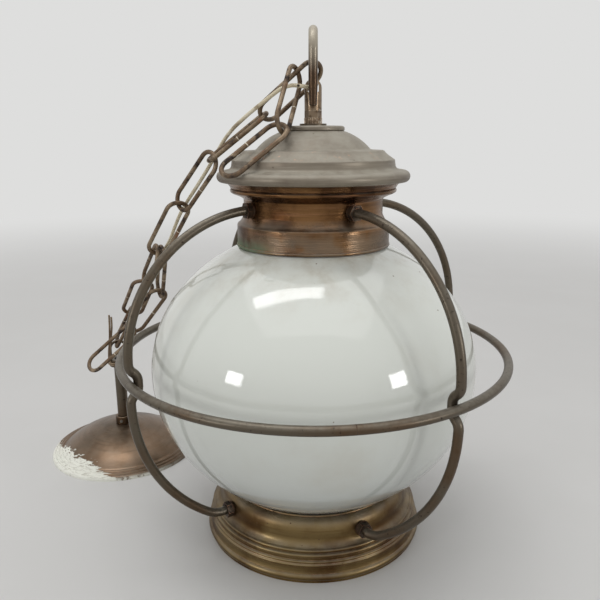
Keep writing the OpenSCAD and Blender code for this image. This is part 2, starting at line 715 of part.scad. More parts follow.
// Cable: one tube swept along a smooth curve through the route's points
function clamped(i) = CABLE_ROUTE[max(0, min(len(CABLE_ROUTE) - 1, i))];
function on_route(i, t) = let (
    a = clamped(i - 1), b = clamped(i), c = clamped(i + 1), d = clamped(i + 2))
    0.5 * (2 * b + (c - a) * t + (2 * a - 5 * b + 4 * c - d) * t * t
        + (3 * b - a - 3 * c + d) * t * t * t);
cable_points = concat(
    [for (i = [0:len(CABLE_ROUTE) - 2]) for (k = [0:1]) on_route(i, k / 2)],
    [CABLE_ROUTE[len(CABLE_ROUTE) - 1]]);
function way(p, i) = unit(p[min(i + 1, len(p) - 1)] - p[max(i - 1, 0)]);
function square_to(v, t) = unit(v - (v * t) * t);
function side_of(p, i) = i == 0 ? [1, 0, 0] : square_to(side_of(p, i - 1), way(p, i));
module cable() {
    n = len(cable_points);
    m = cable_sides;
    rings = [for (i = [0:n - 1]) let (
        t = way(cable_points, i), s = side_of(cable_points, i), u = cross(t, s))
        for (k = [0:m - 1]) cable_points[i]
            + cable_d / 2 * (cos(k * 360 / m) * s + sin(k * 360 / m) * u)];
    color(cream) polyhedron(rings, concat(
        [[for (k = [m - 1:-1:0]) k]],
        [for (i = [0:n - 2]) for (k = [0:m - 1])
            [i * m + k, i * m + (k + 1) % m, (i + 1) * m + (k + 1) % m]],
        [for (i = [0:n - 2]) for (k = [0:m - 1])
            [i * m + k, (i + 1) * m + (k + 1) % m, (i + 1) * m + k]],
        [[for (k = [0:m - 1]) (n - 1) * m + k]]));
}

// Stem and rose
module at_rose() {
    translate([rose_x, rose_y, 0]) children();
}
module stem_tube() {
    color(bronze) at_rose() disc(stem_r, stem_r - stem_wall, 0, stem_top);
}
module stem_loop() {
    loop_cz = loop_top[2] - loop_r;
    collar_top = stem_top;
    color(bronze) at_rose() union() {
        disc(loop_collar_r, stem_r + seat_gap, collar_top - loop_collar_h, loop_collar_h);
        rotate([0, 0, loop_az]) {
            for (s = [-1, 1]) translate([s * loop_r, 0, collar_top - 1])
                cylinder(r = loop_wire_r, h = loop_cz - collar_top + 1, $fn = wire_fn);
            translate([0, 0, loop_cz]) rotate([90, 0, 0])
                rotate_extrude(angle = 180, $fn = 64) translate([loop_r, 0])
                    circle(loop_wire_r, $fn = wire_fn);
        }
    }
}
module stem_nut() {
    color(steel) at_rose() translate([0, 0, strap_t]) difference() {
        cylinder(r = stem_nut_r, h = stem_nut_h, $fn = 6);
        translate([0, 0, -1]) cylinder(r = stem_r + seat_gap, h = stem_nut_h + 2);
    }
}
module ceiling_strap() {
    color(steel) at_rose() difference() {
        intersection() {
            translate([-strap_l / 2, -strap_w / 2, 0]) cube([strap_l, strap_w, strap_t]);
            cylinder(r = strap_l / 2, h = strap_t);
        }
        translate([0, 0, -1]) cylinder(r = stem_r + seat_gap, h = strap_t + 2);
        for (s = [-1, 1]) translate([s * strap_pitch / 2, 0, -1])
            cylinder(r = strap_hole_r, h = strap_t + 2);
    }
}
function rose_path() = let (r = rose_r, h = rose_h) tidy(concat(
    [[r, 0], [r, 1.4], [r - 0.4, 2.2]],
    [for (k = [0:2]) each arc(r - 2.4 - 3.2 * k, 2.2 + 1.15 * k, sheet_t + 0.4, 40, 130, 5)],
    bend([r - 10.6, 6], [r - 28, h - 5], [rose_collar_r + 13, h - 1.6], 12),
    bend([rose_collar_r + 12, h - 1.3], [rose_collar_r + 6, h], [rose_collar_r + 2, h], 4),
    [[stem_r + rose_gap, h]]
));
module rose() {
    color(copper) at_rose() spun(rose_path(), sheet_t);
}
module rose_collar() {
    color(copper) at_rose() difference() {
        translate([0, 0, rose_h + part_gap]) rotate_extrude() polygon(concat(
            [[0, 0], [rose_collar_r, 0]],
            arc(rose_collar_r - 1, rose_collar_h - 1, 1, 0, 90, 4),
            [[0, rose_collar_h]]));
        translate([0, 0, rose_h - 1]) cylinder(r = stem_r + rose_gap, h = rose_collar_h + 3);
        translate([0, 0, rose_h + part_gap + rose_collar_h / 2]) rotate([90, 0, 0])
            cylinder(r = 1.5, h = rose_collar_r + 1);
    }
}
module grub_screw() {
    color(steel) at_rose() translate([0, 0, rose_h + part_gap + rose_collar_h / 2])
        rotate([90, 0, 0]) translate([0, 0, stem_r + rose_gap + 0.1])
            cylinder(r = 1.45, h = rose_collar_r + 1 - stem_r - rose_gap);
}
// Two turns of tying wire round the collar of the stem's loop, with a standing end
module tie_wire() {
    tie_r = 0.8;
    z = stem_top - loop_collar_h / 2;
    out = loop_collar_r + tie_r + seat_gap;
    color(bronze) at_rose() {
        for (k = [0, 1]) translate([0, 0, z + (2 * k - 1) * tie_r * 1.1])
            rotate_extrude($fn = 64) translate([out, 0]) circle(tie_r, $fn = 16);
    }
}

base_ring();
base_shelf();
globe_lower();
globe_middle();
globe_upper();
lower_felt();
upper_felt();
neck_collar();
neck_flange();
cap();
cap_disc();
disc_washer();
check_ring();
hex_nut();
hook_loop();
swivel_hook();
nipple();
bridge_bar();
bridge_washer();
bridge_nut();
holder_cap();
holder_body();
holder_core();
lamp_insert();
centre_contact();
shade_ring();
terminal_screws();
inner_lead();
cage_ring();
right_front_rod();
left_front_rod();
right_back_rod();
left_back_rod();
neck_washers();
neck_nuts();
neck_inner_nuts();
base_washers();
base_nuts();
base_inner_nuts();
chain_link(1);  // chain_link_1
chain_link(2);  // chain_link_2
chain_link(3);  // chain_link_3
chain_link(4);  // chain_link_4
chain_link(5);  // chain_link_5
chain_link(6);  // chain_link_6
chain_link(7);  // chain_link_7
hook_end_link(1);  // hook_end_link_1
hook_end_link(2);  // hook_end_link_2
loose_link(1);  // loose_link_1
loose_link(2);  // loose_link_2
loose_link(3);  // loose_link_3
cable();
stem_tube();
stem_loop();
stem_nut();
ceiling_strap();
rose();
rose_collar();
grub_screw();
tie_wire();
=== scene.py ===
"""Caged globe pendant light: finishes, smooth spun pieces, cable, camera and stage,
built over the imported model, which is in metres with the base ring's foot at the origin."""

import math

import bmesh
import bpy
from bpy.props import FloatProperty, FloatVectorProperty, IntProperty, PointerProperty
from bpy.types import Operator, Panel, PropertyGroup
from mathutils import Matrix, Vector


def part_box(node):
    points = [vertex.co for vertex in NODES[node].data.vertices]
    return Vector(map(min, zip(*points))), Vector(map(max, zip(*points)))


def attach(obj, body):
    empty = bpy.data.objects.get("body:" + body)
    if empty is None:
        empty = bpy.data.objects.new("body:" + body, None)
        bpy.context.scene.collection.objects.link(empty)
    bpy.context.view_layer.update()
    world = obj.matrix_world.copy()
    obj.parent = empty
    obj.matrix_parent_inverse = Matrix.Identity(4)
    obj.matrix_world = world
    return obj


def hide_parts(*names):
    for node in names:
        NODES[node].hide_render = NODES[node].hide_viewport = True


bl_info = {
    "name": "Caged globe pendant light",
    "version": (1, 0, 0),
    "blender": (4, 5, 0),
    "location": "View3D > Sidebar > Lamp",
    "description": "Dresses a caged opal globe pendant light and sets its stage",
    "category": "Object",
}

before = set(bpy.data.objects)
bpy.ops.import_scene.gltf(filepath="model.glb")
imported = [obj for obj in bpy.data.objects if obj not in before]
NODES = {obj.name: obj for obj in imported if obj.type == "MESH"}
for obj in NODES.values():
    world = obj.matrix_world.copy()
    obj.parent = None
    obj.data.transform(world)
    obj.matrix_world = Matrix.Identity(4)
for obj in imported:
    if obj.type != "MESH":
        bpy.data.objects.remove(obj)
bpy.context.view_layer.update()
MM = 0.001

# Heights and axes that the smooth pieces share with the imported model, in millimetres
NECK_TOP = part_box("cap")[0].z / MM
CAP_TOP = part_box("cap_disc")[0].z / MM
PLATE_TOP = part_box("cap_disc")[1].z / MM
GLOBE_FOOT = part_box("globe_lower")[0].z / MM
GLOBE_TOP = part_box("globe_upper")[1].z / MM
ROSE_AXIS = tuple(
    (a + b) / 2 / MM for a, b in zip(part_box("rose")[0][:2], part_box("rose")[1][:2])
)
SHEET = 1.2

# The cable's route from the nipple to the stem, in millimetres, as in part.scad
CABLE_ROUTE = [
    (0, 0, 333), (0, 0, 335.5), (0, -0.9, 338.8), (0, -3.6, 341),
    (-0.9, -7.3, 342.4), (-3.5, -10, 343.2), (-8.6, -11.8, 343.9), (-15, -10.4, 344.4),
    (-22, -9.4, 342.5), (-29, -8.6, 338), (-36, -7, 333), (-44, -3, 327.5),
    (-52, 2, 321.5), (-59.5, 8.5, 315.5), (-66.5, 14, 308), (-73, 17, 298.5),
    (-79, 18, 289), (-85, 18.5, 280), (-91.5, 21, 271), (-98.5, 26, 262),
    (-106.5, 33.5, 251), (-113.5, 42, 239), (-120, 50, 227), (-128, 58, 216),
    (-136.5, 66, 205), (-145, 76, 192), (-154, 87, 176.5), (-163, 97, 161),
    (-171.6, 106, 146.5), (-179.9, 113.9, 132.4), (-185.1, 117.6, 119.6),
    (-187.8, 119.7, 112), (-189.6, 120.2, 106.5), (-191.4, 120.4, 101),
    (-192.3, 120.7, 95.4), (-192.4, 120.8, 88),
]

# Each link's weld: its place on the link's side in millimetres, and the wire's direction
WELDS = {
    "chain_link_1": ((-12.08, 9.01, 336.85), (-0.7594, 0.0398, -0.6494)),
    "chain_link_2": ((-54.12, -5.62, 308.82), (-0.7892, -0.0483, -0.6122)),
    "chain_link_3": ((-84.22, 5.94, 271.37), (-0.5805, 0.3628, -0.729)),
    "chain_link_4": ((-109.05, 33.13, 236.5), (-0.5033, 0.3498, -0.7902)),
    "chain_link_5": ((-137.59, 47.13, 196.13), (-0.4188, 0.6209, -0.6626)),
    "chain_link_6": ((-168.34, 79.82, 170.37), (-0.4292, 0.5696, -0.7009)),
    "chain_link_7": ((-184.39, 116.27, 136.96), (-0.4777, 0.4777, -0.7373)),
    "hook_end_link_1": ((-13.47, -9.34, 329.39), (-0.1933, -0.613, -0.766)),
    "hook_end_link_2": ((-45.02, -33.9, 304.5), (-0.7188, -0.3822, -0.5807)),
    "loose_link_1": ((-126.36, 45.94, 193.48), (-0.2241, 0.528, -0.8192)),
    "loose_link_2": ((-144.76, 76.67, 155.84), (-0.604, 0.2198, -0.766)),
    "loose_link_3": ((-179.52, 65.25, 119.91), (-0.7416, -0.1918, -0.6428)),
}

# The tying wire's two standing ends beside the stem's loop, in millimetres
WIRE_ENDS = [
    [(-203.0, 115.0, 93.8), (-202.2, 114.2, 104), (-200.4, 113.8, 116),
     (-199.2, 113.6, 129), (-198.6, 113.4, 143)],
    [(-201.3, 113.2, 92.2), (-200.2, 112.9, 104), (-198.4, 112.6, 118),
     (-196.6, 112.4, 131), (-196.2, 112.2, 141.5)],
]


# ---------------------------------------------------------------- colours and sizes
def screen(r, g, b):
    """A colour as read from a screen, 0 to 255, in Blender's linear values."""
    return tuple(
        c / 255 / 12.92 if c <= 10 else ((c / 255 + 0.055) / 1.055) ** 2.4
        for c in (r, g, b)
    )


def colour(name, words, *rgb):
    """A colour property of the lamp."""
    return FloatVectorProperty(
        name=name, description=words, default=screen(*rgb), size=3,
        subtype="COLOR", min=0, max=1,
    )


class LampSizes(PropertyGroup):
    """Sizes, mesh fineness and light levels."""

    cable_diameter: FloatProperty(
        name="Cable diameter", description="Diameter of the lamp cable",
        default=0.0028, min=0.001, max=0.006, unit="LENGTH",
    )
    wire_diameter: FloatProperty(
        name="Tying wire", description="Diameter of the tying wire's ends",
        default=0.0018, min=0.0005, max=0.0025, unit="LENGTH",
    )
    weld_width: FloatProperty(
        name="Weld width", description="Width of the weld on each link",
        default=0.0009, min=0.0003, max=0.003, unit="LENGTH",
    )
    turns: IntProperty(
        name="Spun segments", description="Segments round each spun piece",
        default=192, min=48, max=512,
    )
    globe_steps: IntProperty(
        name="Globe steps", description="Steps along the globe's outline",
        default=96, min=24, max=256,
    )
    window_level: FloatProperty(
        name="Window level", description="Brightness of each small side light",
        default=11.0, min=0, max=50,
    )
    overhead_level: FloatProperty(
        name="Overhead level", description="Brightness of the light overhead",
        default=0.62, min=0, max=50,
    )
    strip_level: FloatProperty(
        name="Strip level", description="Brightness of the long light overhead",
        default=5.0, min=0, max=50,
    )
    sky_level: FloatProperty(
        name="Sky level", description="Brightness of the even light all round",
        default=0.55, min=0, max=5,
    )


class LampColours(PropertyGroup):
    """Colours of the lamp's finishes and of the stage."""

    opal: colour("Opal glass", "Clean opal glass", 216, 219, 212)
    # Painted shade: a greyer opal that darkens the globe towards its bottom
    opal_painted_shade: colour("Opal shade", "Opal glass low on the globe", 186, 190, 187)
    grime: colour("Grime", "Thin grime on the globe", 176, 168, 150)
    cap: colour("Cap", "Dull patina of the cap", 130, 121, 107)
    cap_patch: colour("Cap patches", "Darker patches on the cap", 100, 88, 75)
    copper: colour("Bright copper", "Copper where the patina is rubbed off", 206, 152, 120)
    dust: colour("Dust", "Settled dust", 170, 165, 152)
    neck: colour("Neck", "Brown brass of the neck", 124, 90, 57)
    neck_dark: colour("Neck patches", "Dark brown stain on the neck", 64, 40, 20)
    verdigris: colour("Verdigris", "Green film at the neck's foot", 96, 110, 84)
    base: colour("Base", "Olive brass of the base ring", 124, 104, 68)
    base_dark: colour("Base patches", "Dark brown stain on the base", 80, 56, 28)
    brass: colour("Brass", "Brass of the lampholder", 150, 122, 74)
    cage: colour("Cage", "Dark bronze of the rods and ring", 92, 84, 72)
    cage_brown: colour("Cage patches", "Brown patches on the rods", 84, 64, 44)
    rust: colour("Chain", "Old brown rust of the chain", 104, 84, 64)
    rust_dark: colour("Dark rust", "Black-brown rust", 46, 34, 27)
    rust_orange: colour("Fresh rust", "Orange rust spots", 140, 82, 42)
    steel: colour("Steel", "Zinc-plated steel", 158, 155, 147)
    cable: colour("Cable", "Cream cable", 206, 194, 166)
    cable_dirt: colour("Cable dirt", "Dirt on the cable", 128, 108, 82)
    rose: colour("Rose", "Copper of the ceiling rose", 116, 93, 73)
    rose_patch: colour("Rose patches", "Darker copper", 82, 65, 48)
    plaster: colour("Plaster", "Old plaster on the rose's rim", 230, 230, 220)
    felt: colour("Felt", "Felt rings", 112, 102, 86)
    porcelain: colour("Porcelain", "Lampholder core", 228, 224, 212)
    floor: colour("Floor", "Pale floor", 204, 203, 201)
    backdrop: colour("Backdrop", "Pale background", 222, 222, 221)


# ---------------------------------------------------------------- shader node helpers
def add(tree, kind, inputs=None, **settings):
    """One shader node. inputs gives a value, or the socket to link, by name or number."""
    made = tree.nodes.new(kind)
    for key, value in settings.items():
        setattr(made, key, value)
    for key, value in (inputs or {}).items():
        if isinstance(value, bpy.types.NodeSocket):
            tree.links.new(value, made.inputs[key])
        elif isinstance(value, (tuple, bpy.types.bpy_prop_array)) and len(value) == 3:
            full = (*value, 1.0) if made.inputs[key].type == "RGBA" else tuple(value)
            made.inputs[key].default_value = full
        else:
            made.inputs[key].default_value = value
    return made


def calc(tree, operation, a, b=0.0, clamp=False):
    return add(
        tree, "ShaderNodeMath", {0: a, 1: b}, operation=operation, use_clamp=clamp
    ).outputs[0]


def ease(tree, value, low, high, out_low=0.0, out_high=1.0):
    """Smooth step of a value between two limits."""
    return add(
        tree, "ShaderNodeMapRange",
        {"Value": value, "From Min": low, "From Max": high,
         "To Min": out_low, "To Max": out_high},
        interpolation_type="SMOOTHSTEP",
    ).outputs[0]


def mix_colour(tree, mask, a, b):
    return add(tree, "ShaderNodeMix", {0: mask, 6: a, 7: b}, data_type="RGBA").outputs[2]


def mix_value(tree, mask, a, b):
    return add(tree, "ShaderNodeMix", {0: mask, 2: a, 3: b}, data_type="FLOAT").outputs[0]


def place(tree):
    """The point on the piece, in metres in the shared frame."""
    return add(tree, "ShaderNodeTexCoord").outputs["Object"]


def xyz(tree, vector):
    return add(tree, "ShaderNodeSeparateXYZ", {0: vector}).outputs


def noise(tree, vector, scale, detail=6.0, roughness=0.55):
    return add(
        tree, "ShaderNodeTexNoise",
        {"Vector": vector, "Scale": scale, "Detail": detail, "Roughness": roughness},
    ).outputs[0]


def effect(name, inputs, outputs):
    """An empty node group with named float sockets, its inputs and its outputs."""
    tree = bpy.data.node_groups.new(name, "ShaderNodeTree")
    for label, default in inputs:
        socket = tree.interface.new_socket(
            name=label, in_out="INPUT", socket_type="NodeSocketFloat"
        )
        socket.default_value = default
    for label in outputs:
        tree.interface.new_socket(
            name=label, in_out="OUTPUT", socket_type="NodeSocketFloat"
        )
    source = tree.nodes.new("NodeGroupInput").outputs
    target = tree.nodes.new("NodeGroupOutput").inputs
    return tree, source, target


def make_mottle():
    """Cloudy patches: Mask is 1 inside a patch."""
    tree, given, out = effect("Mottle", [("Scale", 60), ("Low", 0.45), ("High", 0.6)], ["Mask"])
    cloud = noise(tree, place(tree), given["Scale"])
    tree.links.new(ease(tree, cloud, given["Low"], given["High"]), out["Mask"])
    return tree


def make_spinning():
    """Fine lines that the spinning lathe leaves round an upright axis."""
    tree, given, out = effect(
        "Spinning lines", [("Axis X", 0), ("Axis Y", 0), ("Fineness", 900), ("Length", 2)],
        ["Mask", "Height"],
    )
    at = xyz(tree, place(tree))
    x = calc(tree, "SUBTRACT", at["X"], given["Axis X"])
    y = calc(tree, "SUBTRACT", at["Y"], given["Axis Y"])
    flat = add(tree, "ShaderNodeCombineXYZ", {0: x, 1: y}).outputs[0]
    radius = add(tree, "ShaderNodeVectorMath", {0: flat}, operation="LENGTH").outputs["Value"]
    along = add(tree, "ShaderNodeVectorMath", {0: flat}, operation="NORMALIZE").outputs[0]
    turn = xyz(tree, along)
    lines = add(
        tree, "ShaderNodeCombineXYZ",
        {0: calc(tree, "MULTIPLY", calc(tree, "ADD", radius, at["Z"]), given["Fineness"]),
         1: calc(tree, "MULTIPLY", turn["X"], given["Length"]),
         2: calc(tree, "MULTIPLY", turn["Y"], given["Length"])},
    ).outputs[0]
    streak = noise(tree, lines, 1.0, 5.0, 0.65)
    tree.links.new(ease(tree, streak, 0.48, 0.72), out["Mask"])
    tree.links.new(streak, out["Height"])
    return tree


def make_dust():
    """Dust on faces that look up, broken by noise."""
    tree, given, out = effect("Settled dust", [("Amount", 0.6), ("Scale", 90)], ["Mask"])
    up = xyz(tree, add(tree, "ShaderNodeNewGeometry").outputs["Normal"])["Z"]
    lies = ease(tree, up, 0.15, 0.85)
    broken = ease(tree, noise(tree, place(tree), given["Scale"], 8.0, 0.6), 0.3, 0.65, 0.35, 1.0)
    mask = calc(tree, "MULTIPLY", calc(tree, "MULTIPLY", lies, broken), given["Amount"], True)
    tree.links.new(mask, out["Mask"])
    return tree


def make_wear():
    """Rubbed edges, found with a bevelled normal and broken by noise."""
    tree, given, out = effect(
        "Edge wear", [("Radius", 0.0006), ("Amount", 0.8), ("Scale", 260)], ["Mask"]
    )
    soft = add(tree, "ShaderNodeBevel", {"Radius": given["Radius"]}, samples=4).outputs[0]
    hard = add(tree, "ShaderNodeNewGeometry").outputs["Normal"]
    same = add(
        tree, "ShaderNodeVectorMath", {0: soft, 1: hard}, operation="DOT_PRODUCT"
    ).outputs["Value"]
    edge = ease(tree, same, 0.995, 0.88)
    broken = ease(tree, noise(tree, place(tree), given["Scale"]), 0.35, 0.6)
    mask = calc(tree, "MULTIPLY", calc(tree, "MULTIPLY", edge, broken), given["Amount"], True)
    tree.links.new(mask, out["Mask"])
    return tree


def make_specks():
    """Small scattered spots."""
    tree, given, out = effect("Specks", [("Scale", 160), ("Size", 0.16), ("Share", 0.25)], ["Mask"])
    cells = add(
        tree, "ShaderNodeTexVoronoi", {"Vector": place(tree), "Scale": given["Scale"]}
    ).outputs
    near = calc(tree, "LESS_THAN", cells["Distance"], given["Size"])
    kept = calc(tree, "LESS_THAN", xyz(tree, cells["Color"])["X"], given["Share"])
    tree.links.new(calc(tree, "MULTIPLY", near, kept), out["Mask"])
    return tree


def make_pitting():
    """Fine unevenness of old metal and paint."""
    tree, given, out = effect("Pitting", [("Scale", 700), ("Depth", 0.1)], ["Height"])
    fine = noise(tree, place(tree), given["Scale"], 4.0, 0.6)
    broad = noise(tree, place(tree), calc(tree, "MULTIPLY", given["Scale"], 0.2), 2.0)
    both = calc(tree, "ADD", fine, broad)
    tree.links.new(calc(tree, "MULTIPLY", both, given["Depth"]), out["Height"])
    return tree


EFFECTS = {
    "Mottle": make_mottle, "Spinning lines": make_spinning, "Settled dust": make_dust,
    "Edge wear": make_wear, "Specks": make_specks, "Pitting": make_pitting,
}


def use(tree, name, **values):
    """Places one of the shared effects, and gives its outputs."""
    group = bpy.data.node_groups.get(name) or EFFECTS[name]()
    placed = add(tree, "ShaderNodeGroup", node_tree=group)
    for key, value in values.items():
        placed.inputs[key.replace("_", " ")].default_value = value
    return placed.outputs


class Finish:
    """A material built up in layers over a Principled shader."""

    def __init__(self, name, base, roughness, metallic):
        self.material = bpy.data.materials.new(name)
        self.material.use_nodes = True
        self.tree = self.material.node_tree
        self.tree.nodes.clear()
        self.colour, self.rough, self.metal, self.height = base, roughness, metallic, None

    def cover(self, mask, shade, roughness=None, metallic=None, lift=0.0):
        """Lays a colour over the surface where mask is 1, lift millimetres proud."""
        t = self.tree
        self.colour = mix_colour(t, mask, self.colour, shade)
        if roughness is not None:
            self.rough = mix_value(t, mask, self.rough, roughness)
        if metallic is not None:
            self.metal = mix_value(t, mask, self.metal, metallic)
        if lift:
            self.raise_by(calc(t, "MULTIPLY", mask, lift))
        return self

    def raise_by(self, height):
        """Adds a height in millimetres."""
        if self.height is not None:
            height = calc(self.tree, "ADD", self.height, height)
        self.height = height

    def patches(self, shade, scale, low, high, roughness=None, metallic=None, lift=0.0):
        mask = use(self.tree, "Mottle", Scale=scale, Low=low, High=high)["Mask"]
        return self.cover(mask, shade, roughness, metallic, lift)

    def spun(self, shade, share, depth, axis=(0.0, 0.0), fineness=900, length=2.0):
        lines = use(self.tree, "Spinning lines", Axis_X=axis[0], Axis_Y=axis[1],
                    Fineness=fineness, Length=length)
        self.cover(calc(self.tree, "MULTIPLY", lines["Mask"], share), shade)
        self.raise_by(calc(self.tree, "MULTIPLY", lines["Height"], depth))
        return self

    def worn(self, shade, radius, amount, roughness=0.3, metallic=1.0):
        mask = use(self.tree, "Edge wear", Radius=radius, Amount=amount)["Mask"]
        return self.cover(mask, shade, roughness, metallic)

    def dusty(self, shade, amount, scale=90):
        mask = use(self.tree, "Settled dust", Amount=amount, Scale=scale)["Mask"]
        return self.cover(mask, shade, 0.8, 0.0)

    def specks(self, shade, scale, size, share, lift=0.0):
        mask = use(self.tree, "Specks", Scale=scale, Size=size, Share=share)["Mask"]
        return self.cover(mask, shade, 0.8, 0.0, lift)

    def pitted(self, scale, depth):
        self.raise_by(use(self.tree, "Pitting", Scale=scale, Depth=depth)["Height"])
        return self

    def done(self, **constants):
        """Joins the layers to the shader and gives the material."""
        t = self.tree
        wires = {"Base Color": self.colour, "Roughness": self.rough, "Metallic": self.metal}
        for key, value in constants.items():
            wires[key.replace("_", " ")] = value
        if self.height is not None:
            wires["Normal"] = add(
                t, "ShaderNodeBump", {"Strength": 1.0, "Distance": MM, "Height": self.height}
            ).outputs[0]
        shader = add(t, "ShaderNodeBsdfPrincipled", wires)
        out = t.nodes.new("ShaderNodeOutputMaterial")
        t.links.new(shader.outputs[0], out.inputs["Surface"])
        return self.material


# ---------------------------------------------------------------- the lamp's finishes
def rgb(key):
    return tuple(getattr(bpy.context.scene.lamp_colours, key))


def opal_glass():
    f = Finish("opal_glass", rgb("opal"), 0.07, 0.0)
    t = f.tree
    at = xyz(t, place(t))
    # Painted shade: the globe is painted greyer towards its bottom
    f.cover(ease(t, at["Z"], 0.17, 0.04), rgb("opal_painted_shade"))
    near_neck = ease(t, at["Z"], 0.19, 0.245)
    cloud = ease(t, noise(t, place(t), 34.0, 8.0, 0.62), 0.42, 0.75)
    f.cover(calc(t, "MULTIPLY", near_neck, cloud), rgb("grime"), 0.3)
    film = ease(t, noise(t, place(t), 14.0, 5.0), 0.5, 0.8, 0.0, 0.35)
    f.cover(film, rgb("grime"), 0.16)
    f.specks(screen(120, 108, 90), 95, 0.055, 0.3)
    f.raise_by(noise(t, place(t), 22.0, 1.0))
    return f.done(Coat_Weight=0.5, Coat_Roughness=0.03, Subsurface_Weight=0.12,
                  Subsurface_Radius=(0.004, 0.004, 0.004))


def cap_copper():
    f = Finish("antique_copper_cap", rgb("cap"), 0.4, 0.5)
    f.patches(rgb("cap_patch"), 22, 0.4, 0.75, 0.46)
    f.spun(rgb("dust"), 0.25, 0.04)
    f.worn(rgb("dust"), 0.0007, 0.35, 0.4, 0.4)
    t = f.tree
    at = xyz(t, place(t))
    band = calc(t, "MULTIPLY", ease(t, at["Z"], NECK_TOP * MM + 0.012, NECK_TOP * MM + 0.016),
                ease(t, at["Z"], NECK_TOP * MM + 0.022, NECK_TOP * MM + 0.018))
    scratch = ease(t, noise(t, place(t), 130.0, 6.0, 0.7), 0.56, 0.68)
    front = ease(t, at["Y"], -0.025, -0.05)
    rubbed = calc(t, "MULTIPLY", calc(t, "MULTIPLY", band, scratch), front)
    f.cover(rubbed, rgb("copper"), 0.3, 0.9)
    f.dusty(rgb("dust"), 0.6)
    f.specks(rgb("cap_patch"), 190, 0.12, 0.12, -0.15)
    return f.pitted(900, 0.05).done()


def neck_brass():
    f = Finish("antique_brass_neck", rgb("neck"), 0.2, 0.95)
    f.patches(rgb("neck_dark"), 26, 0.42, 0.66, 0.3)
    f.spun(rgb("neck_dark"), 0.5, 0.2, fineness=700, length=1.0)
    f.spun(rgb("copper"), 0.2, 0.0, fineness=420, length=1.1)
    t = f.tree
    at = xyz(t, place(t))
    z = at["Z"]
    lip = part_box("neck_collar")[0].z
    cloud = noise(t, place(t), 60.0, 7.0, 0.6)
    grey = calc(t, "MULTIPLY", ease(t, z, lip + 0.022, lip + 0.008), ease(t, cloud, 0.3, 0.6))
    f.cover(calc(t, "MULTIPLY", grey, 0.5), rgb("cap"), 0.3, 0.75)
    green = calc(t, "MULTIPLY", ease(t, z, lip + 0.011, lip + 0.002), ease(t, cloud, 0.32, 0.5))
    left = ease(t, at["X"], -0.024, -0.04)
    f.cover(calc(t, "MULTIPLY", green, left), rgb("verdigris"), 0.75, 0.1)
    f.worn(rgb("copper"), 0.0006, 0.6)
    f.dusty(rgb("dust"), 0.35)
    return f.pitted(500, 0.06).done()


def base_brass():
    f = Finish("antique_brass_base", rgb("base"), 0.3, 0.9)
    f.patches(rgb("base_dark"), 24, 0.42, 0.66, 0.4)
    f.spun(rgb("base_dark"), 0.6, 0.13, fineness=650, length=1.2)
    f.worn(rgb("copper"), 0.0008, 0.5)
    f.dusty(rgb("dust"), 0.25)
    f.specks(rgb("base_dark"), 240, 0.13, 0.1)
    return f.pitted(520, 0.06).done()


def cage_bronze():
    f = Finish("dark_bronze_cage", rgb("cage"), 0.34, 0.72)
    f.patches(rgb("cage_brown"), 18, 0.42, 0.7, 0.38)
    f.patches(rgb("rust_dark"), 420, 0.6, 0.72, 0.5)
    f.dusty(rgb("dust"), 0.2, 240)
    return f.pitted(800, 0.07).done()


def hook_bronze():
    f = Finish("worn_bronze_hook_with_painted_highlight", screen(66, 50, 36), 0.28, 0.8)
    t = f.tree
    # Painted highlight: the hook's top is painted pale over the dark brown bronze
    high = ease(t, xyz(t, place(t))["Z"], 0.35, 0.378)
    f.cover(high, screen(172, 163, 146), 0.34, 0.5)
    f.patches(rgb("cage_brown"), 60, 0.48, 0.74, 0.36)
    f.worn(rgb("steel"), 0.0006, 0.7)
    f.dusty(rgb("dust"), 0.3, 200)
    return f.pitted(900, 0.03).done()


def loop_bronze():
    f = Finish("worn_bronze_loop_with_painted_highlights", screen(132, 114, 94), 0.28, 0.85)
    f.patches(rgb("cage_brown"), 150, 0.46, 0.6, 0.4)
    # Pale shiny patches: partly polished metal, partly painted highlights
    f.patches(screen(196, 186, 170), 150, 0.56, 0.72, 0.24, 1.0)
    f.worn(screen(196, 184, 166), 0.0005, 0.5, 0.26)
    return f.pitted(900, 0.04).done()


def nut_bronze():
    f = Finish("dark_bronze_nuts", screen(78, 66, 54), 0.4, 0.7)
    f.patches(rgb("rust_dark"), 260, 0.42, 0.62, 0.6)
    f.worn(rgb("copper"), 0.0005, 0.7)
    return f.pitted(1100, 0.1).done()


def bright_brass():
    f = Finish("brass", rgb("brass"), 0.32, 0.95)
    f.patches(rgb("base_dark"), 90, 0.45, 0.7, 0.45)
    f.worn(screen(210, 178, 120), 0.0005, 0.6)
    return f.pitted(900, 0.05).done()


def chain_rust():
    f = Finish("rusty_steel", rgb("rust"), 0.5, 0.5)
    f.patches(screen(140, 122, 100), 60, 0.44, 0.62, 0.42)
    f.patches(rgb("rust_dark"), 110, 0.5, 0.68, 0.8, 0.1)
    f.patches(rgb("rust_orange"), 75, 0.6, 0.76, 0.9, 0.0, 0.04)
    return f.pitted(1500, 0.14).done()


def weld_steel():
    f = Finish("weld_steel", screen(204, 194, 176), 0.4, 0.4)
    f.patches(rgb("rust"), 700, 0.56, 0.7, 0.7, 0.2)
    return f.pitted(1800, 0.05).done()


def zinc_steel():
    f = Finish("zinc_steel", rgb("steel"), 0.36, 0.9)
    f.patches(screen(112, 108, 100), 140, 0.42, 0.62, 0.5)
    f.patches(rgb("rust_orange"), 230, 0.62, 0.74, 0.85, 0.0)
    return f.pitted(900, 0.06).done()


def cable_plastic():
    f = Finish("cable_plastic", rgb("cable"), 0.38, 0.0)
    f.patches(rgb("cable_dirt"), 110, 0.5, 0.78, 0.55)
    f.patches(screen(222, 214, 192), 60, 0.52, 0.7, 0.3)
    f.specks(rgb("rust_dark"), 190, 0.2, 0.16)
    return f.pitted(700, 0.06).done()


